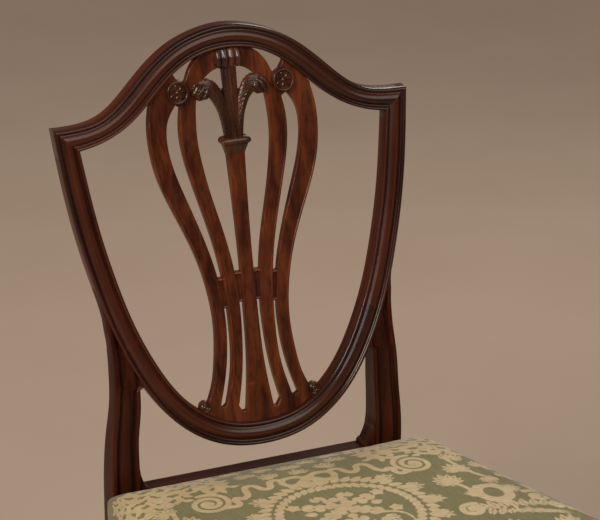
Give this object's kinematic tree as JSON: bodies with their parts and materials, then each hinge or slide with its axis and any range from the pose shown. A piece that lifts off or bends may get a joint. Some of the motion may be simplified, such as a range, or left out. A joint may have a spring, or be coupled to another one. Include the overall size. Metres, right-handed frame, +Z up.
{
  "type": "shield back dining chair",
  "caption": "Mahogany side chair with a shield back, a pierced splat of curved ribs with carved plumes, and a seat covered in sage damask.",
  "frame": {"origin": "on the floor, under the middle of the chair's overall width and depth", "axes": "+Z up; the chair faces -Y; X runs across it"},
  "size_m": [0.5766, 0.5163, 0.955],
  "materials": {
    "mahogany": "polished, dark red-brown",
    "beech": "planed, unfinished",
    "steel": "plain",
    "jute_webbing": "woven",
    "hessian": "plain weave",
    "horsehair": "matted hair",
    "damask": "sage ground with cream figure",
    "black_cloth": "matt"
  },
  "bodies": {
    "root": {"crest_rail": "mahogany", "shield_lower_rail": "mahogany", "rear_leg_left": "mahogany", "rear_leg_right": "mahogany", "splat": "mahogany", "rosette_left": "mahogany", "rosette_right": "mahogany", "rear_seat_rail": "mahogany", "front_leg_left": "mahogany", "front_leg_right": "mahogany", "side_stretcher_left": "mahogany", "side_stretcher_right": "mahogany", "cross_stretcher": "mahogany", "rear_stretcher": "mahogany", "front_seat_rail": "beech", "side_seat_rail_left": "beech", "side_seat_rail_right": "beech", "corner_block_front_left": "beech", "corner_block_front_right": "beech", "corner_block_rear_left": "beech", "corner_block_rear_right": "beech", "corner_block_screws": "steel", "seat_tacks": "steel", "webbing_front_to_back": "jute_webbing", "webbing_side_to_side": "jute_webbing", "hessian": "hessian", "seat_stuffing": "horsehair", "seat_cover": "damask", "dust_cover": "black_cloth"}
  },
  "joints": []
}
